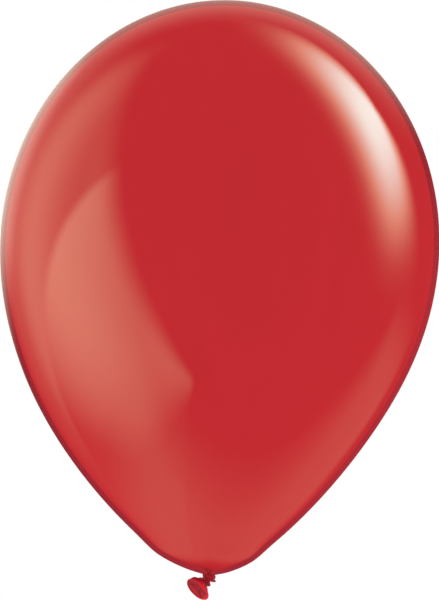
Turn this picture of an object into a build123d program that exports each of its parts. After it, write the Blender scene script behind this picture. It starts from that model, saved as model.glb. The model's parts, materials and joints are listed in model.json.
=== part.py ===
"""Knotted latex balloon: an inflated envelope, its gathered neck, the knot and the rolled mouth.

Millimetres. +Z runs up the envelope's axis and -Y is the front, the side that the mouth leans to.
The origin is the middle of the pinched throat, where a ribbon is tied or a clip grips.
"""
import os
from math import asin, hypot, sin, sqrt

from build123d import *

os.makedirs("parts", exist_ok=True)

# Envelope: a drop whose axis is straight at the top and bends towards the throat below
widest_radius = 140.0
widest_height = 208.4  # of the widest level, above the throat
crown_rise = 157.5  # from the widest level to the crown
end_radius = 33.0  # rounding of the drop's lower end
axis_offset = 11.2  # how far the throat stands to the right of the straight axis
bend_height = 118.0  # the axis is straight above this level
envelope_wall = 0.35  # the blown film itself is about 0.02
level_count = 12  # levels that the lower half is drawn through

# Neck: the film gathered between the envelope and the knot
throat_radius = 4.2
neck_radius = 2.3
neck_drop = 4.2  # how far it reaches below the throat
neck_clearance = 0.1  # of its rounded top below the throat
joint_gap = 0.3  # between pieces that turn on each other

# Knot: two flattened turns of the neck
wrap_radius = 4.6
wrap_thickness = 2.6
wrap_centre = (0.4, -0.2, -4.0)
wrap_tilt = 15.0  # degrees, of its axis from the vertical, towards the mouth
tuck_radius = 3.9
tuck_thickness = 3.6
turn_rounding = 0.42  # edge radius of a turn, as a share of its thickness

# Mouth: the free end of the neck, flared and finished by a rolled bead
mouth_direction = Vector(-0.565, -0.50, -0.652).normalized()
mouth_centre = Vector(-6.6, -6.4, -11.0)
mouth_radius = 8.1  # to the middle of the bead
bead_radius = 0.8
tail_length = 5.6  # from the flop pivot to the mouth's plane
tail_root_radius = 1.6
tail_wall = 0.5
tail_ball_radius = 2.4
tail_straight = 3.0  # length of the narrow root before it flares
tail_flare_rounding = 2.0

neck_pivot = Vector(0, 0, -neck_radius - neck_clearance)
tail_pivot = mouth_centre - mouth_direction * tail_length
mouth_side = Vector(0, 0, 1).cross(mouth_direction).normalized()


def drop(height):
    """Radius of the drop at a height, and its slope; the curvature runs on through the widest level."""
    if height >= widest_height:
        rise = (height - widest_height) / crown_rise
        radius = widest_radius * sqrt(1 - rise**2)
        return radius, -(widest_radius**2) * rise / (crown_rise * radius)
    depth = 1 - height / widest_height
    square = (widest_height / crown_rise) ** 2
    fourth = 2 * end_radius * widest_height / widest_radius**2 - 3 + square
    cube = 1 - square - fourth
    radius = widest_radius * sqrt(1 - square * depth**2 - cube * depth**3 - fourth * depth**4)
    growth = 2 * square * depth + 3 * cube * depth**2 + 4 * fourth * depth**3
    return radius, widest_radius**2 * growth / (2 * radius * widest_height)


def film_level(angle, inset):
    """Radius and height of the film at an angle below the widest level, moved inwards by inset."""
    height = widest_height * (1 - sin(angle))
    radius, slope = drop(height)
    tilt = hypot(1, slope)
    return radius - inset / tilt, height + inset * slope / tilt


def axis_shift(height):
    """How far the drop's axis stands to the left of the throat at a height."""
    bend = max(0.0, 1 - height / bend_height)
    return -axis_offset * (1 - bend**2)


# The lowest level is where the drop has narrowed to the throat
end_height = throat_radius**2 / (2 * end_radius)
lowest_angle = asin(1 - end_height / widest_height)
straight_axis = Axis((-axis_offset, 0, 0), (0, 0, 1))

with BuildPart() as envelope:
    for inset, mode in ((0.0, Mode.ADD), (envelope_wall, Mode.SUBTRACT)):
        for level in range(level_count):
            radius, height = film_level(lowest_angle * (1 - level / (level_count - 1)), inset)
            with BuildSketch(Plane((axis_shift(height), 0, height))):
                Circle(radius)
        loft(mode=mode)
        with BuildSketch(Plane.XZ):
            with BuildLine():
                centre = (-axis_offset, widest_height)
                outer = EllipticalCenterArc(
                    centre, widest_radius - inset, crown_rise - inset, start_angle=0, arc_size=90
                )
                Polyline(outer @ 1, centre, outer @ 0)
            make_face()
        revolve(axis=straight_axis, mode=mode)
envelope.part.label = "envelope"
export_step(envelope.part, "parts/envelope.step")

# The neck's rounded top rolls under the envelope about its own centre
with BuildPart() as neck_gather:
    with BuildSketch(Plane(neck_pivot, z_dir=(0, 0, -1))):
        Circle(neck_radius)
    extrude(amount=neck_drop + neck_pivot.Z)
    with Locations(neck_pivot):
        Sphere(neck_radius, arc_size1=0, align=(Align.CENTER, Align.CENTER, Align.MIN))
neck_gather.part.label = "neck_gather"
export_step(neck_gather.part, "parts/neck_gather.step")


def rounded_turn(plane, radius, thickness):
    """One flattened turn of the knot, rounded at both rims."""
    with BuildSketch(plane) as outline:
        Circle(radius)
    extrude(outline.sketch, amount=thickness / 2, both=True)
    fillet(edges(), turn_rounding * thickness)


# The upper turn goes round the neck, which twists in its round recess
with BuildPart() as knot_wrap:
    wrap_axis = Vector(0, 0, -1).rotate(Axis((0, 0, 0), mouth_side), -wrap_tilt)
    rounded_turn(Plane(wrap_centre, x_dir=mouth_side, z_dir=wrap_axis), wrap_radius, wrap_thickness)
    with BuildSketch(Plane.XY.offset(-neck_drop - joint_gap)):
        Circle(neck_radius + joint_gap)
    extrude(amount=neck_drop, mode=Mode.SUBTRACT)
knot_wrap.part.label = "knot_wrap"
export_step(knot_wrap.part, "parts/knot_wrap.step")

# The lower turn lies against the upper one and holds the root of the tail
with BuildPart() as knot_tuck:
    tuck_centre = tail_pivot - mouth_direction * tuck_thickness / 2
    rounded_turn(Plane(tuck_centre, x_dir=mouth_side, z_dir=mouth_direction), tuck_radius, tuck_thickness)
    add(knot_wrap.part, mode=Mode.SUBTRACT)
    with Locations(tail_pivot):
        Sphere(tail_ball_radius + joint_gap, mode=Mode.SUBTRACT)
knot_tuck.part.label = "knot_tuck"
export_step(knot_tuck.part, "parts/knot_tuck.step")

# Profiles of the mouth are drawn outwards and along its axis
mouth_profile = Plane(tail_pivot, x_dir=mouth_side, z_dir=mouth_side.cross(mouth_direction))
mouth_axis = Axis(tail_pivot, mouth_direction)

with BuildPart() as lip_bead:
    with BuildSketch(mouth_profile):
        with Locations((mouth_radius, tail_length)):
            Circle(bead_radius)
    revolve(axis=mouth_axis)
lip_bead.part.label = "lip_bead"
export_step(lip_bead.part, "parts/lip_bead.step")

with BuildPart() as tail_funnel:
    with BuildSketch(mouth_profile):
        with BuildLine():
            FilletPolyline(
                (tail_root_radius, 0),
                (tail_root_radius, tail_straight),
                (mouth_radius, tail_length),
                radius=tail_flare_rounding,
            )
            offset(amount=tail_wall, side=Side.LEFT)
        make_face()
    revolve(axis=mouth_axis)
    with Locations(tail_pivot):
        Sphere(tail_ball_radius)
    add(lip_bead.part, mode=Mode.SUBTRACT)
tail_funnel.part.label = "tail_funnel"
export_step(tail_funnel.part, "parts/tail_funnel.step")
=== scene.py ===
import json
from math import atan2, cos, exp, pi, radians, sin, sqrt

import bmesh
import bpy
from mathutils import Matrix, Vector


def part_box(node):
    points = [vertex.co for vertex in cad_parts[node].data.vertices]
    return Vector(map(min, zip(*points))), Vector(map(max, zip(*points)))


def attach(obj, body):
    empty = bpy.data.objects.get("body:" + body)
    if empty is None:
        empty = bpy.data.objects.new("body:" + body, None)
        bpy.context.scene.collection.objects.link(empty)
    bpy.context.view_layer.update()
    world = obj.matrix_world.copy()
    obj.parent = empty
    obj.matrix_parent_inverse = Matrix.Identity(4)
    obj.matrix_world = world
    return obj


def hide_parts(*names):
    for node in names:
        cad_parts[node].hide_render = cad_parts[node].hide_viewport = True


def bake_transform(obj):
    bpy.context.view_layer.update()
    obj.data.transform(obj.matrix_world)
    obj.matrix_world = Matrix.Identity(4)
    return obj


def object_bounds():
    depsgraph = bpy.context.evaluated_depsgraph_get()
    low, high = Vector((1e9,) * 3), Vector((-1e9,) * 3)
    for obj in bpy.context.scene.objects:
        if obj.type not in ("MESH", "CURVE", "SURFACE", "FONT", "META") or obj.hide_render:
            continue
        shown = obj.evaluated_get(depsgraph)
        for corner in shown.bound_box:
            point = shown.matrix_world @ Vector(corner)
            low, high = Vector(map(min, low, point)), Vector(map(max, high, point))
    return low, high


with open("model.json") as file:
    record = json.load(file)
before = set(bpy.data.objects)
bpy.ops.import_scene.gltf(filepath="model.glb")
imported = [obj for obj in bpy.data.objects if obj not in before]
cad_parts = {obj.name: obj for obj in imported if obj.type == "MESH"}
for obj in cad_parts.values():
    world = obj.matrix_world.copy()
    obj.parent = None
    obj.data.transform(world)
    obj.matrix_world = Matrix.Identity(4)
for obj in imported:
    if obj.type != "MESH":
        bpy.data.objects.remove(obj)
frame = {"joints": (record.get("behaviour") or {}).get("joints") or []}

CAD_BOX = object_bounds()
MM = 0.001

# ---------------------------------------------------------------- sizes of the blown film, in metres
low, high = (Vector(corner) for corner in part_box("envelope"))
WIDEST_RADIUS = (high.x - low.x) / 2
AXIS_OFFSET = -(high.x + low.x) / 2
TOP = high.z
CROWN_RISE = 157.5 * MM
WIDEST_HEIGHT = TOP - CROWN_RISE
END_RADIUS = 33 * MM  # rounding of the lower end
BEND_HEIGHT = 118 * MM  # the middle line is straight above this level
THROAT_PULL = 2.0 * MM  # how far the knot drags the lowest part of the film sideways
PULL_HEIGHT = 11 * MM
SLACK_WIDTH = 2.6 * MM  # the film is a little fuller just above the throat
SLACK_HEIGHT = 10.5 * MM
SLACK_REACH = 6.5 * MM
RIM_DEPTH = 3.5 * MM  # from the skin to the lining

# The drop below its widest level is a polynomial of the depth that starts level and ends at END_RADIUS
SQUARE = (WIDEST_HEIGHT / CROWN_RISE) ** 2
FOURTH = 2 * END_RADIUS * WIDEST_HEIGHT / WIDEST_RADIUS**2 - 3 + SQUARE
CUBE = 1 - SQUARE - FOURTH

# ---------------------------------------------------------------- place and way of the mouth
TAIL_LENGTH = 5.6 * MM  # from the pivot to the plane of the mouth
TAIL_TILT = 34.4  # degrees about Y, then TAIL_PITCH about X: together they face the mouth's way
TAIL_PITCH = -37.3
TAIL_UP = Vector((-0.756, 0, 0.655))  # towards the upper edge of the mouth
TAIL_RISE = Vector((0.3, 0, 1.5)) * MM  # the tail hangs this far above the CAD mouth
MOUTH_WAY = Vector((-0.565, -0.50, -0.652)).normalized()
joints = {joint["name"]: joint for joint in frame["joints"]}
TAIL_PIVOT = Vector(joints["tail_flop"]["pos_m"])
MOUTH_CENTRE = TAIL_PIVOT + MOUTH_WAY * TAIL_LENGTH + TAIL_RISE


def film_radius(height):
    """Radius of the blown film at a height above the throat."""
    if height >= WIDEST_HEIGHT:
        rise = min(1.0, (height - WIDEST_HEIGHT) / CROWN_RISE)
        return WIDEST_RADIUS * sqrt(1 - rise**2)
    depth = 1 - height / WIDEST_HEIGHT
    drop = WIDEST_RADIUS * sqrt(1 - SQUARE * depth**2 - CUBE * depth**3 - FOURTH * depth**4)
    return drop + SLACK_WIDTH * exp(-(((height - SLACK_HEIGHT) / SLACK_REACH) ** 2))


def axis_shift(height):
    """How far the middle of the film leans away from the throat at a height."""
    bend = max(0.0, 1 - height / BEND_HEIGHT)
    pull = max(0.0, 1 - height / PULL_HEIGHT)
    return -(AXIS_OFFSET - THROAT_PULL) * (1 - bend**2) - THROAT_PULL * (1 - pull**2)


# ---------------------------------------------------------------- bench tools
CLOSE = 0.02 * MM
SMOOTH_ANGLE = radians(60)


def start_ring(name, count, centre, radius, tilt=0.0, pitch=0.0):
    """A ring of edges, turned by tilt about Y and then pitch about X, ready to be drawn on."""
    bpy.ops.object.select_all(action="DESELECT")
    bpy.ops.mesh.primitive_circle_add(
        vertices=count, radius=radius, fill_type="NOTHING", location=(0, 0, 0), rotation=(0, tilt, 0)
    )
    bpy.ops.object.transform_apply(location=False, rotation=True, scale=False)
    piece = bpy.context.object
    piece.rotation_euler = (pitch, 0, 0)
    piece.location = centre
    bpy.ops.object.transform_apply(location=True, rotation=True, scale=False)
    piece.name = name
    piece.data.name = name
    bpy.ops.object.mode_set(mode="EDIT")
    bpy.ops.mesh.select_mode(type="VERT")
    bpy.ops.mesh.select_all(action="SELECT")
    return piece


def turn(angle, axis, centre):
    """Turns what is chosen about a centre, by the right-hand rule."""
    if abs(angle) > 1e-9:
        bpy.ops.transform.rotate(value=-angle, orient_axis=axis, center_override=centre)


def draw_ring(last, ring):
    """Extrudes the chosen ring and takes the new one to its place. A ring is centre, radius, tilt, pitch."""
    centre, radius, tilt, pitch = last
    bpy.ops.mesh.extrude_region_move(TRANSFORM_OT_translate={"value": (0, 0, 0)})
    turn(-pitch, "X", centre)
    turn(ring[2] - tilt, "Y", centre)
    turn(ring[3], "X", centre)
    size = ring[1] / radius
    bpy.ops.transform.resize(value=(size, size, size), center_override=centre)
    bpy.ops.transform.translate(value=ring[0] - centre)


def draw_tube(name, count, rings, close_start=True):
    """A tube through all its rings, left in edit mode. A closed end is drawn together to a point."""
    rings = [(Vector(ring[0]), ring[1], ring[2], ring[3]) for ring in rings]
    centre, radius, tilt, pitch = rings[0]
    piece = start_ring(name, count, centre, radius, tilt, pitch)
    for last, ring in zip(rings, rings[1:]):
        draw_ring(last, ring)
    bpy.ops.mesh.merge(type="CENTER")
    if close_start:
        choose(lambda place: (place - centre).length < radius * 1.01)
        bpy.ops.mesh.merge(type="CENTER")
    return piece


def ring_way(ring):
    """The way a ring faces."""
    tilt, pitch = ring[2], ring[3]
    return Vector((sin(tilt), -cos(tilt) * sin(pitch), cos(tilt) * cos(pitch)))


def sharpen(ring, amount):
    """Keeps the edges of one ring crisp when the mesh is smoothed."""
    centre, radius, way = Vector(ring[0]), ring[1], ring_way(ring)

    def on_ring(place):
        out = place - centre
        return abs(out.length - radius) < CLOSE and abs(out.dot(way)) < CLOSE

    choose(on_ring)
    bpy.ops.transform.edge_crease(value=amount)


def finish_mesh(piece, modifiers):
    """Leaves edit mode with faces outwards, then adds and applies the modifiers."""
    bpy.ops.mesh.select_all(action="SELECT")
    bpy.ops.mesh.remove_doubles(threshold=1e-6)
    bpy.ops.mesh.normals_make_consistent(inside=False)
    bpy.ops.object.mode_set(mode="OBJECT")
    for kind, settings in modifiers:
        modifier = piece.modifiers.new(kind.title(), kind)
        for setting, value in settings.items():
            setattr(modifier, setting, value)
        bpy.ops.object.modifier_apply(modifier=modifier.name)
    bpy.ops.object.shade_smooth_by_angle(angle=SMOOTH_ANGLE)


def smoother(levels):
    """A subdivision modifier for finish_mesh."""
    return ("SUBSURF", {"levels": levels, "render_levels": levels})


def choose(test):
    """Chooses the vertices of the mesh in edit mode that pass a test on their place."""
    mesh = bmesh.from_edit_mesh(bpy.context.object.data)
    bpy.ops.mesh.select_all(action="DESELECT")
    for vertex in mesh.verts:
        vertex.select = test(vertex.co)
    mesh.select_flush_mode()
    bmesh.update_edit_mesh(bpy.context.object.data)


def column_of(place, centre, way, side, count):
    """Which of count columns round an axis a place lies in."""
    out = place - centre
    out -= way * out.dot(way)
    other = way.cross(side)
    return round(atan2(out.dot(other), out.dot(side)) / (2 * pi) * count) % count


def pleat(count, centre, way, side, first, last, depths):
    """Draws whole columns of a tube in towards its axis, between two distances along the axis."""
    for index, size in enumerate(depths):
        def in_column(place):
            along = (place - centre).dot(way)
            if not first <= along <= last:
                return False
            return column_of(place, centre, way, side, count) % len(depths) == index
        if abs(size - 1) < 1e-9:
            continue
        choose(in_column)
        middle = centre + way * (first + last) / 2
        bpy.ops.transform.resize(value=(size, size, size), center_override=middle)


# ---------------------------------------------------------------- material tools
class Wire:
    """A socket's value, so that sums on it are written as sums."""

    def __init__(self, board, socket):
        self.board = board
        self.socket = socket

    def maths(self, operation, *values):
        """A sum on some values, as a new node."""
        inputs = dict(enumerate(values))
        node = self.board.add("ShaderNodeMath", {"operation": operation}, inputs)
        return Wire(self.board, node.outputs[0])

    def __add__(self, other):
        return self.maths("ADD", self, other)

    def __radd__(self, other):
        return self.maths("ADD", other, self)

    def __sub__(self, other):
        return self.maths("SUBTRACT", self, other)

    def __rsub__(self, other):
        return self.maths("SUBTRACT", other, self)

    def __mul__(self, other):
        return self.maths("MULTIPLY", self, other)

    def __rmul__(self, other):
        return self.maths("MULTIPLY", other, self)

    def __truediv__(self, other):
        return self.maths("DIVIDE", self, other)

    def __pow__(self, other):
        return self.maths("POWER", self, other)

    def __neg__(self):
        return self.maths("MULTIPLY", self, -1.0)

    def __abs__(self):
        return self.maths("ABSOLUTE", self)

    def at_least(self, other):
        return self.maths("MAXIMUM", self, other)

    def at_most(self, other):
        return self.maths("MINIMUM", self, other)

    def exponent(self):
        return self.maths("EXPONENT", self)

    def step(self, start, end):
        """Goes smoothly from 0 at start to 1 at end."""
        node = self.board.add(
            "ShaderNodeMapRange",
            {"interpolation_type": "SMOOTHSTEP"},
            {"Value": self, "From Min": start, "From Max": end},
        )
        return Wire(self.board, node.outputs["Result"])


class Board:
    """The node tree of one material or of the studio."""

    def __init__(self, tree):
        self.tree = tree
        tree.nodes.clear()

    def add(self, kind, settings, inputs):
        """A node of any kind: its settings first, then the values or links of its sockets."""
        node = self.tree.nodes.new(kind)
        for setting, value in settings.items():
            setattr(node, setting, value)
        for name, value in inputs.items():
            socket = node.inputs[name]
            if isinstance(value, Wire):
                self.tree.links.new(value.socket, socket)
            else:
                socket.default_value = value
        return node

    def get(self, kind, output, settings=None, inputs=None):
        """The named or numbered output of a new node."""
        node = self.add(kind, settings or {}, inputs or {})
        return Wire(self, node.outputs[output])

    def parts(self, vector):
        """The X, Y and Z of a vector."""
        node = self.add("ShaderNodeSeparateXYZ", {}, {0: vector})
        return [Wire(self, socket) for socket in node.outputs]

    def noise(self, place, scale, detail=2.0):
        """Soft random clouds, as a share from 0 to 1."""
        return self.get("ShaderNodeTexNoise", "Fac", {}, {"Vector": place, "Scale": scale, "Detail": detail})

    def stretch(self, place, size):
        """A place with its X, Y and Z each multiplied, to draw a pattern out."""
        return self.get("ShaderNodeVectorMath", "Vector", {"operation": "MULTIPLY"}, {0: place, 1: size})

    def blend(self, share, first, second):
        """A colour between two, by share."""
        return self.get("ShaderNodeMix", 2, {"data_type": "RGBA"}, {0: share, 6: first, 7: second})


def new_material(name):
    """An empty material and the board of its nodes."""
    material = bpy.data.materials.new(name)
    material.use_nodes = True
    return material, Board(material.node_tree)


def dress(piece, material):
    """Gives a piece one material."""
    piece.data.materials.clear()
    piece.data.materials.append(material)


# ---------------------------------------------------------------- materials
WHITE = (1, 1, 1, 1)
TAIL_LEAN = 49.0  # degrees; the creases of the tail run towards the upper edge of the mouth


def clear_crimson_film():
    """Stretched latex that light passes: a deep crimson stain under a wet gloss."""
    material, board = new_material("clear_crimson_film")
    place = board.get("ShaderNodeTexCoord", "Object")
    streaks = board.noise(board.stretch(place, (1.0, 1.0, 0.12)), 70.0)
    cloud = board.noise(place, 9.0)
    facing = board.get("ShaderNodeLayerWeight", "Facing", {}, {"Blend": 0.5})
    gloss = 0.05 + 0.25 * facing**6
    height = cloud + 0.2 * streaks
    ripple = {"Strength": 0.05, "Distance": 0.2 * MM, "Height": height}
    tilt = board.get("ShaderNodeBump", "Normal", {}, ripple)
    wet = {"Color": WHITE, "Roughness": 0.03 + 0.04 * cloud, "Normal": tilt}
    shine = board.get("ShaderNodeBsdfAnisotropic", 0, {}, wet)
    stain = board.get("ShaderNodeBsdfTransparent", 0, {}, {"Color": (0.65, 0.147, 0.195, 1)})
    deep = board.get("ShaderNodeBsdfTransparent", 0, {}, {"Color": (0.61, 0.133, 0.175, 1)})
    body = board.get("ShaderNodeMixShader", 0, {}, {0: streaks, 1: stain, 2: deep})
    mixed = board.get("ShaderNodeMixShader", 0, {}, {0: gloss, 1: body, 2: shine})
    board.add("ShaderNodeOutputMaterial", {}, {"Surface": mixed})
    return material


def coral_lining():
    """The glow of the film's own colour from inside, which the stained skin lies over."""
    material, board = new_material("coral_lining")
    place = board.get("ShaderNodeTexCoord", "Object")
    z = board.parts(place)[2]
    streaks = board.noise(board.stretch(place, (1.0, 1.0, 0.1)), 60.0)
    cloud = board.noise(place, 7.0)
    crown = z.step(TOP - 12 * MM, TOP - 2 * MM)
    throat = 1 - z.step(4 * MM, 30 * MM)
    even = 0.35 * streaks + 0.35 * cloud + 0.5 * crown + 0.3 * throat
    colour = board.blend(even, (0.885, 0.170, 0.168, 1), (0.835, 0.148, 0.152, 1))
    shell = board.get(
        "ShaderNodeBsdfPrincipled",
        0,
        {},
        {"Base Color": colour, "Roughness": 0.7 - 0.1 * cloud, "Specular IOR Level": 0.0},
    )
    board.add("ShaderNodeOutputMaterial", {}, {"Surface": shell})
    return material


def slack_film(name, light, shaded_colour, crease_scale, lean, painted_side_light=None):
    """Unstretched film: opaque, satin, with painted shade that darkens its creases, which lean left by some
    degrees.

    Given a pair of places along X, the film is painted as shaded at the first and as lit at the second, a
    painted side light.
    """
    material, board = new_material(name)
    place = board.get("ShaderNodeTexCoord", "Object")
    laid = board.get(
        "ShaderNodeMapping",
        "Vector",
        {"vector_type": "TEXTURE"},
        {"Vector": place, "Rotation": (0, -radians(lean), 0), "Scale": (1, 1, 5)},
    )
    creases = board.noise(laid, crease_scale, 3.0)
    cloud = board.noise(place, 300.0)
    pores = board.noise(place, 5200.0, 1.0)
    # painted shade: the colour goes towards the shaded colour along the crease pattern, with a little random
    # tone from the clouds
    painted_shade_and_tone = (0.85 * creases + 0.15 * cloud).step(0.36, 0.64)
    # painted light: the film is painted darker towards its left and lighter towards its right, as if lit
    # from the right
    if painted_side_light:
        x = board.parts(place)[0]
        painted_shade_and_tone = 0.35 * painted_shade_and_tone + 0.65 * (1 - x.step(painted_side_light[0], painted_side_light[1]))
    colour = board.blend(painted_shade_and_tone, light, shaded_colour)
    height = creases + 0.05 * pores
    relief = {"Strength": 0.5, "Distance": 0.3 * MM, "Height": height}
    tilt = board.get("ShaderNodeBump", "Normal", {}, relief)
    shell = board.get(
        "ShaderNodeBsdfPrincipled",
        0,
        {},
        {
            "Base Color": colour,
            "Roughness": 0.42 + 0.15 * cloud,
            "Specular IOR Level": 0.1,
            "Normal": tilt,
        },
    )
    board.add("ShaderNodeOutputMaterial", {}, {"Surface": shell})
    return material


FILM = clear_crimson_film()
LINING = coral_lining()
# each slack film has a lit colour and a darker colour for its painted crease shade
GATHERED = slack_film("gathered_film", (0.46, 0.016, 0.036, 1), (0.26, 0.010, 0.022, 1), 640.0, 20.0)
TAIL = slack_film("slack_tail_film", (0.46, 0.014, 0.028, 1), (0.25, 0.009, 0.019, 1), 560.0, TAIL_LEAN)
# the rolled bead is painted in shade on its left and lit on its right
BEAD = slack_film(
    "rolled_bead_latex",
    (0.76, 0.012, 0.032, 1),
    (0.30, 0.009, 0.022, 1),
    500.0,
    TAIL_LEAN,
    painted_side_light=(-12 * MM, -3 * MM),
)


# ---------------------------------------------------------------- rings for the pieces
THROAT_SHIFT = 0.2  # mm; how far the throat's middle stands to the right of the origin
FILM_SIDES = 96


def in_mm(rings):
    """Rings written in mm and degrees, as metres and radians."""
    return [
        (Vector(place) * MM, radius * MM, radians(tilt), radians(pitch))
        for place, radius, tilt, pitch in rings
    ]


def level_rings(profile):
    """Level rings in the throat, from a list of height and radius in mm."""
    return in_mm([((THROAT_SHIFT, 0, height), radius, 0, 0) for height, radius in profile])


def slope_ways(degrees):
    """The axis and the cross way of a fold that slopes down to the right."""
    angle = radians(degrees)
    return Vector((sin(angle), 0, cos(angle))), Vector((cos(angle), 0, -sin(angle)))


# ---------------------------------------------------------------- the blown envelope
FIRST_LEVEL = 0.267 * MM  # where the film has narrowed to the throat
CROWN_DOT = 0.4 * MM  # radius of the last ring, before it is drawn together


def film_levels(count):
    """Heights with even steps of turn, closer together near the throat and the crown."""
    lower = [FIRST_LEVEL + (WIDEST_HEIGHT - FIRST_LEVEL) * (index / count) ** 1.6 for index in range(count)]
    upper = [WIDEST_HEIGHT + CROWN_RISE * sin(pi / 2 * index / count) for index in range(count)]
    return lower + upper


def blown_rings(inset, count=26):
    """Rings of the blown film, drawn in by an even depth."""
    step = 0.01 * MM
    just_below_top = TOP - 0.0001 * MM
    rings = []
    for height in film_levels(count):
        lower = max(0.0, height - step)
        upper = min(just_below_top, height + step)
        slope = (film_radius(upper) - film_radius(lower)) / (upper - lower)
        length = sqrt(1 + slope**2)
        radius = film_radius(height) - inset / length
        rings.append(((axis_shift(height), 0, height + inset * slope / length), radius, 0.0, 0.0))
    crown = ((axis_shift(TOP), 0, TOP - inset), CROWN_DOT, 0.0, 0.0)
    return rings + [crown]


def envelope_film():
    """The clear skin, open only at the skirt that the collar covers."""
    skirt = level_rings([(-0.3, 3.65), (-0.05, 3.95)])
    piece = draw_tube("envelope_film", FILM_SIDES, skirt + blown_rings(0.0), close_start=False)
    finish_mesh(piece, [smoother(1)])
    dress(piece, FILM)
    piece.visible_diffuse = False
    piece.visible_shadow = False
    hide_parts("envelope")
    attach(piece, "envelope")


def envelope_lining():
    """The shell under the skin that carries its colour, with a tongue down the throat."""
    tongue = level_rings([(-0.7, 0.8), (-0.2, 1.05), (0.9, 1.25), (1.9, 1.8), (2.9, 2.9), (3.5, 4.8)])
    least = 7 * MM
    body = [ring for ring in blown_rings(RIM_DEPTH) if ring[1] > least or ring[0][2] > WIDEST_HEIGHT]
    piece = draw_tube("envelope_lining", FILM_SIDES, tongue + body)
    finish_mesh(piece, [smoother(1)])
    dress(piece, LINING)
    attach(piece, "envelope")


# ---------------------------------------------------------------- the gathered neck and the knot
UP = Vector((0, 0, 1))
RIGHT = Vector((1, 0, 0))
COLLAR_SIDES = 36
COLLAR_PLEATS = (1.0, 0.95, 1.0, 0.92, 1.02, 0.9)
FOLD_SIDES = 40
HEM_CREASE = 0.7


def slack_piece(piece, material, node):
    """Gives a piece of slack film its finish, keeps it out of glossy rays and hides the CAD part of that
    node.
    """
    dress(piece, material)
    piece.visible_glossy = False
    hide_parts(node)


def neck_collar():
    """The pleated film between the envelope and the knot."""
    rings = in_mm([
        ((0.3, 0, -2.6), 1.2, 4, 0),
        ((0.4, 0, -2.3), 3.4, 6, 0),
        ((0.45, 0, -1.9), 4.2, 6, 0),
        ((0.4, 0, -1.4), 4.4, 3, 0),
        ((0.35, 0, -0.8), 4.35, 1, 0),
        ((0.3, 0, -0.3), 4.2, 0, 0),
        ((0.25, 0, 0.0), 3.85, 0, 0),
        ((0.25, 0, -0.35), 3.0, 0, 0),
        ((0.2, 0, -0.6), 1.3, 0, 0),
    ])
    piece = draw_tube("neck_collar", COLLAR_SIDES, rings)
    middle = Vector((0.3, 0, -1.0)) * MM
    pleat(COLLAR_SIDES, middle, UP, RIGHT, -1.4 * MM, 0.75 * MM, COLLAR_PLEATS)
    finish_mesh(piece, [smoother(2)])
    slack_piece(piece, GATHERED, "neck_gather")
    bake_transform(piece)


def upper_fold():
    """The turn of film next to the collar, with a crisp hem that comes to a corner on the right."""
    rings = in_mm([
        ((0.4, -0.1, -2.0), 1.2, 6, 0),
        ((0.5, -0.1, -1.75), 2.4, 8, 0),
        ((0.6, -0.1, -2.0), 3.9, 10, 0),
        ((0.6, -0.1, -2.35), 4.35, 13, 0),
        ((0.7, -0.1, -2.85), 4.7, 19, 0),
        ((0.45, -0.2, -3.4), 4.2, 17, 0),
        ((-0.1, -0.3, -3.9), 3.3, 12, 0),
        ((-0.5, -0.4, -4.0), 1.7, 10, 0),
    ])
    hem = rings[4]
    piece = draw_tube("upper_fold", FOLD_SIDES, rings)
    sharpen(hem, HEM_CREASE)
    way, side = slope_ways(20)
    depths = (1.0, 0.94, 1.01, 0.9, 1.0, 0.95, 1.02, 0.92)
    pleat(FOLD_SIDES, Vector((0.6, -0.1, -2.4)) * MM, way, side, -1.2 * MM, 0.9 * MM, depths)
    finish_mesh(piece, [smoother(2)])
    slack_piece(piece, GATHERED, "knot_wrap")
    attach(piece, "knot")


def lower_fold():
    """The turn of film that the tail comes out of."""
    rings = in_mm([
        ((-0.2, -0.4, -2.0), 1.2, 24, 0),
        ((-0.6, -0.5, -2.8), 2.3, 26, -3),
        ((-1.2, -0.7, -3.5), 2.9, 28, -6),
        ((-1.6, -0.9, -4.0), 4.0, 29, -10),
        ((-2.1, -1.1, -4.6), 4.8, 31, -13),
        ((-2.5, -1.5, -5.4), 4.3, 27, -16),
        ((-3.0, -1.9, -6.2), 3.4, 20, -20),
        ((-3.3, -2.2, -6.6), 2.1, 16, -24),
        ((-3.2, -2.3, -6.2), 1.0, 16, -28),
    ])
    hem = rings[4]
    piece = draw_tube("lower_fold", FOLD_SIDES, rings)
    sharpen(hem, HEM_CREASE)
    way, side = slope_ways(30)
    depths = (1.0, 0.9, 1.02, 0.95, 0.98, 0.9, 1.0, 0.94)
    pleat(FOLD_SIDES, Vector((-1.9, -1.1, -4.6)) * MM, way, side, -1.6 * MM, 1.6 * MM, depths)
    finish_mesh(piece, [smoother(2)])
    slack_piece(piece, GATHERED, "knot_tuck")
    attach(piece, "knot")


# ---------------------------------------------------------------- the tail and its rolled lip
TAIL_SIDES = 48
ROOT_PLEATS = (1.0, 0.86, 1.02, 0.9)
CUP_PLEATS = (1.0, 0.97, 1.0, 0.94)
# Where each ridge of the dish starts and ends across the mouth, and its lift, in mm
DISH_RIDGES = ((-5.4, -3.0, 0.45), (-1.6, -0.2, 0.7), (1.2, 2.6, -0.6), (3.6, 5.2, 0.5))


def tail_ring(along, radius, lift=0.0):
    """A ring of the tail, some mm past the pivot and lifted towards the upper edge of the mouth."""
    centre = TAIL_PIVOT / MM + MOUTH_WAY * along + TAIL_UP * lift
    centre += TAIL_RISE / MM * min(1.0, max(0.0, (along + 1.5) / 3.5))
    return (centre, radius, TAIL_TILT, TAIL_PITCH)


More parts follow.
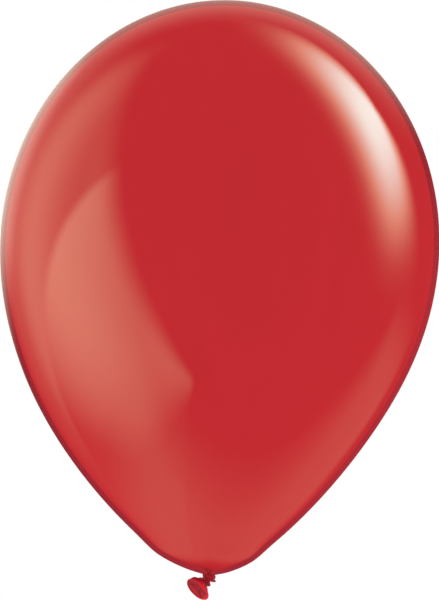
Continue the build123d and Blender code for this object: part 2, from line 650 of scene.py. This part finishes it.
def crease_dish(middle):
    """Folds the film that closes the mouth along its longer way, by ridges beside each other."""
    across = MOUTH_WAY.cross(TAIL_UP).normalized()
    for start, end, lift in DISH_RIDGES:
        def in_ridge(place):
            out = place - middle
            along = out.dot(MOUTH_WAY)
            radius = (out - MOUTH_WAY * along).length
            return radius < 6.6 * MM and along > 3.2 * MM and start * MM <= out.dot(across) <= end * MM
        choose(in_ridge)
        bpy.ops.transform.translate(value=MOUTH_WAY * lift * MM)


def tail_film():
    """The flared end of the neck, closed by a creased dish inside the mouth."""
    rings = in_mm([
        tail_ring(-2.2, 1.0),
        tail_ring(-1.4, 1.7),
        tail_ring(-0.4, 2.1),
        tail_ring(0.4, 3.4, 0.6),
        tail_ring(1.0, 5.1, 1.0),
        tail_ring(1.6, 6.3, 1.0),
        tail_ring(2.6, 6.95, 0.9),
        tail_ring(3.8, 7.45, 0.6),
        tail_ring(5.0, 8.0, 0.2),
        tail_ring(5.6, 8.1),
        tail_ring(5.5, 7.5),
        tail_ring(5.0, 6.0, 0.1),
        tail_ring(4.4, 4.3, 0.2),
        tail_ring(4.0, 2.6, 0.3),
        tail_ring(3.8, 1.0, 0.3),
    ])
    piece = draw_tube("tail_film", TAIL_SIDES, rings)
    side = TAIL_UP.normalized()
    middle = TAIL_PIVOT + TAIL_RISE
    pleat(TAIL_SIDES, middle, MOUTH_WAY, side, -3.5 * MM, 0.6 * MM, ROOT_PLEATS)
    pleat(TAIL_SIDES, middle, MOUTH_WAY, side, 0.6 * MM, 3.9 * MM, CUP_PLEATS)
    crease_dish(middle)
    finish_mesh(piece, [smoother(2)])
    slack_piece(piece, TAIL, "tail_funnel")
    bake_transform(piece)


def rolled_lip():
    """The rolled bead of the mouth, thinner towards its lower left."""
    bpy.ops.object.select_all(action="DESELECT")
    bpy.ops.mesh.primitive_torus_add(
        major_segments=72,
        minor_segments=14,
        major_radius=8.0 * MM,
        minor_radius=0.9 * MM,
        location=(0, 0, 0),
        rotation=(0, radians(TAIL_TILT), 0),
    )
    bpy.ops.object.transform_apply(location=False, rotation=True, scale=False)
    piece = bpy.context.object
    piece.rotation_euler = (radians(TAIL_PITCH), 0, 0)
    piece.location = MOUTH_CENTRE
    bpy.ops.object.transform_apply(location=True, rotation=True, scale=False)
    piece.name = "rolled_lip"
    piece.data.name = "rolled_lip"
    bpy.ops.object.mode_set(mode="EDIT")
    thin_way = Vector((-0.86, 0, -0.51))
    for reach in (-2.5, -1.0, 0.5, 2.0, 3.5, 5.0):
        choose(lambda place: (place - MOUTH_CENTRE).dot(thin_way) > reach * MM)
        bpy.ops.transform.shrink_fatten(value=-0.1 * MM)
    finish_mesh(piece, [smoother(1)])
    slack_piece(piece, BEAD, "lip_bead")
    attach(piece, "tail")


envelope_film()
envelope_lining()
neck_collar()
upper_fold()
lower_fold()
tail_film()
rolled_lip()


# ---------------------------------------------------------------- the studio
LEAN = radians(5.01)  # how far the camera leans to one side, and the soft boxes with it
STRIP_LEVEL = 15
FLOOR_LEVEL = 0.68
WALL_LEVEL = 1.45
CEILING_LEVEL = 1.15
ROOM_LEVEL = 0.05  # the dark of the room between the boxes
WARM_LIMIT = 4.0  # brighter than this, the soft boxes turn from warm to cool
NEVER_ZERO = 0.05  # keeps a divisor off zero


def direction(azimuth, height):
    """Unit vector in the studio's turned frame: right, away, up. Azimuth 0 looks back at the camera."""
    azimuth, height = radians(azimuth), radians(height)
    return Vector((cos(height) * sin(azimuth), -cos(height) * cos(azimuth), sin(height)))


def studio_panels(right, away, up):
    """How bright the soft boxes look in each direction: those in front, and those behind."""
    def dot(vector):
        return vector[0] * right + vector[1] * away + vector[2] * up

    down = (-up).at_least(NEVER_ZERO)
    floor_x = right / down
    floor_y = away / down

    # the large window box on the left, with a brighter pane in its lower half
    side = (-right).at_least(NEVER_ZERO)
    near = -away / side
    rise = up / side
    slant = -0.842 * (near - 0.58) - 0.54 * (rise - 0.353)
    gate = slant.step(-0.22, 0.25) * (1 - floor_x.step(-0.29, -0.22)) * (-right).step(0.02, 0.1)
    ridge = near + 0.48 + 0.3 * (rise - 1).at_least(0.0)
    band = 1 - abs(ridge).step(0.0, 0.6)
    fading = (1 - 0.92 * rise.step(0.0, 2.4)) * (1 - 0.7 * (-rise).step(0.0, 1.1))
    curtain = near.step(-2.0, -0.5) * (1 + 1.5 * band) * fading
    pane = (0.707 * (near - rise + 0.2)).step(0.0, 0.12)
    glow = (1.5 + 2.3 * (1 - near.step(-0.3, 1.1))) * (1 - 0.95 * (-rise - near).step(0.0, 1.6))
    window = gate * ((1 - pane) * curtain + pane * glow * near.step(-1.8, -0.6))

    # the narrow strip box high on the right
    centre, across, along = direction(115, 30), direction(205, 0), direction(115, 120)
    ahead = dot(centre).at_least(0.1)
    x = dot(across) / ahead + 0.03
    y = dot(along) / ahead
    left = (-1 * ((x - 0.35 * y).at_most(0.0) / 0.29) ** 2).exponent()
    blur = 0.06 + 0.35 * abs(y)
    edge = 1 - ((x - 0.2 - 0.35 * y - 0.25 * y * y) / blur).step(-1.0, 1.0)
    strip = STRIP_LEVEL * (-1 * ((y - 0.03) / 0.42) ** 2).exponent()
    strip = strip * left * edge * dot(centre).step(0.2, 0.4)

    # light back from the floor
    far_side = (0.4 + 1.2 * abs(floor_x) - floor_y).step(-0.35, 0.35)
    near_side = (floor_y - 0.5 * floor_x).step(-0.5, 0.2)
    floor = FLOOR_LEVEL * near_side * far_side * floor_x.step(-1.1, -0.5) * (-up).step(0.15, 0.4)

    # the bright wall behind, to the left and over the top
    back = away.at_least(NEVER_ZERO)
    wall_x = -right / back
    wall_y = up / back
    wall = wall_y.step(-0.12, 0.08) * (1 - wall_y.step(0.25, 0.65)) * (1 - wall_x.step(0.45, 1.2))
    wall = WALL_LEVEL * wall * (wall_x - 0.9 * wall_y).step(-0.1, 0.1) * away.step(0.1, 0.4)
    outwards = ((right * right + up * up) ** 0.5).at_least(0.01)
    upper_left = (0.94 * up - 0.34 * right) / outwards
    ceiling = CEILING_LEVEL * away.step(0.5, 0.9) * upper_left.step(0.0, 0.6)
    return window + strip + floor + ROOM_LEVEL, wall + ceiling


def studio():
    """Even light on matt surfaces, and soft boxes in what glossy surfaces mirror."""
    world = bpy.data.worlds.new("studio")
    bpy.context.scene.world = world
    world.use_nodes = True
    world.cycles.sampling_method = "NONE"
    board = Board(world.node_tree)
    x, y, z = board.parts(board.get("ShaderNodeTexCoord", "Generated"))
    right = cos(LEAN) * x + sin(LEAN) * z
    up = cos(LEAN) * z - sin(LEAN) * x
    boxes, behind = studio_panels(right, y, up)

    def glow(colour, strength):
        return board.get("ShaderNodeBackground", 0, {}, {"Color": colour, "Strength": strength})

    dim = boxes.at_most(WARM_LIMIT)
    warm = glow((1.0, 1.0, 0.63, 1), dim)
    cool = glow((0.36, 1.0, 1.0, 1), boxes - dim)
    rosy = glow((1.0, 1.0, 0.8, 1), behind)
    front = board.get("ShaderNodeAddShader", 0, {}, {0: warm, 1: cool})
    mirrored = board.get("ShaderNodeAddShader", 0, {}, {0: front, 1: rosy})
    even = glow(WHITE, 1.12 + 0.18 * y - 0.06 * z)
    light = board.add("ShaderNodeLightPath", {}, {})
    is_glossy = Wire(board, light.outputs["Is Glossy Ray"])
    is_camera = Wire(board, light.outputs["Is Camera Ray"])
    paper = glow(WHITE, 1.0)
    lit = board.get("ShaderNodeMixShader", 0, {}, {0: is_glossy, 1: even, 2: mirrored})
    mixed = board.get("ShaderNodeMixShader", 0, {}, {0: is_camera, 1: lit, 2: paper})
    board.add("ShaderNodeOutputWorld", {}, {"Surface": mixed})


def pale_floor():
    """A disc of paper under the balloon, too small for the main camera to see."""
    bpy.ops.object.select_all(action="DESELECT")
    level = -70 * MM
    bpy.ops.mesh.primitive_circle_add(
        vertices=96, radius=0.5, fill_type="NGON", location=(0, 0, level)
    )
    bpy.ops.object.transform_apply(location=True, rotation=False, scale=False)
    floor = bpy.context.object
    floor.name = "pale_floor"
    material, board = new_material("pale_floor_paper")
    place = board.get("ShaderNodeTexCoord", "Object")
    grain = board.noise(place, 40.0)
    colour = board.blend(grain, (0.86, 0.855, 0.85, 1), (0.82, 0.815, 0.81, 1))
    paper = board.get("ShaderNodeBsdfPrincipled", 0, {}, {"Base Color": colour, "Roughness": 0.8})
    board.add("ShaderNodeOutputMaterial", {}, {"Surface": paper})
    dress(floor, material)
    floor.visible_glossy = False
    floor.visible_diffuse = False


def main_camera():
    """A long lens from the front, leaning a little, that just holds the balloon."""
    middle = (Vector(CAD_BOX[0]) + Vector(CAD_BOX[1])) / 2
    aim = middle + Vector((2.8 * MM, 0, 0.9 * MM))
    distance = 3.2
    view_height = 0.3823  # metres from the foot of the view to its head, at the balloon
    data = bpy.data.cameras.new("main_camera")
    data.sensor_width = 36
    data.lens = data.sensor_width * distance / view_height
    camera = bpy.data.objects.new("main_camera", data)
    camera.location = aim - Vector((0, distance, 0))
    camera.rotation_euler = (radians(90), -LEAN, 0)
    bpy.context.scene.collection.objects.link(camera)
    bpy.context.scene.camera = camera


studio()
pale_floor()
main_camera()
bpy.context.scene.view_settings.view_transform = "Standard"
bpy.context.scene.view_settings.look = "None"
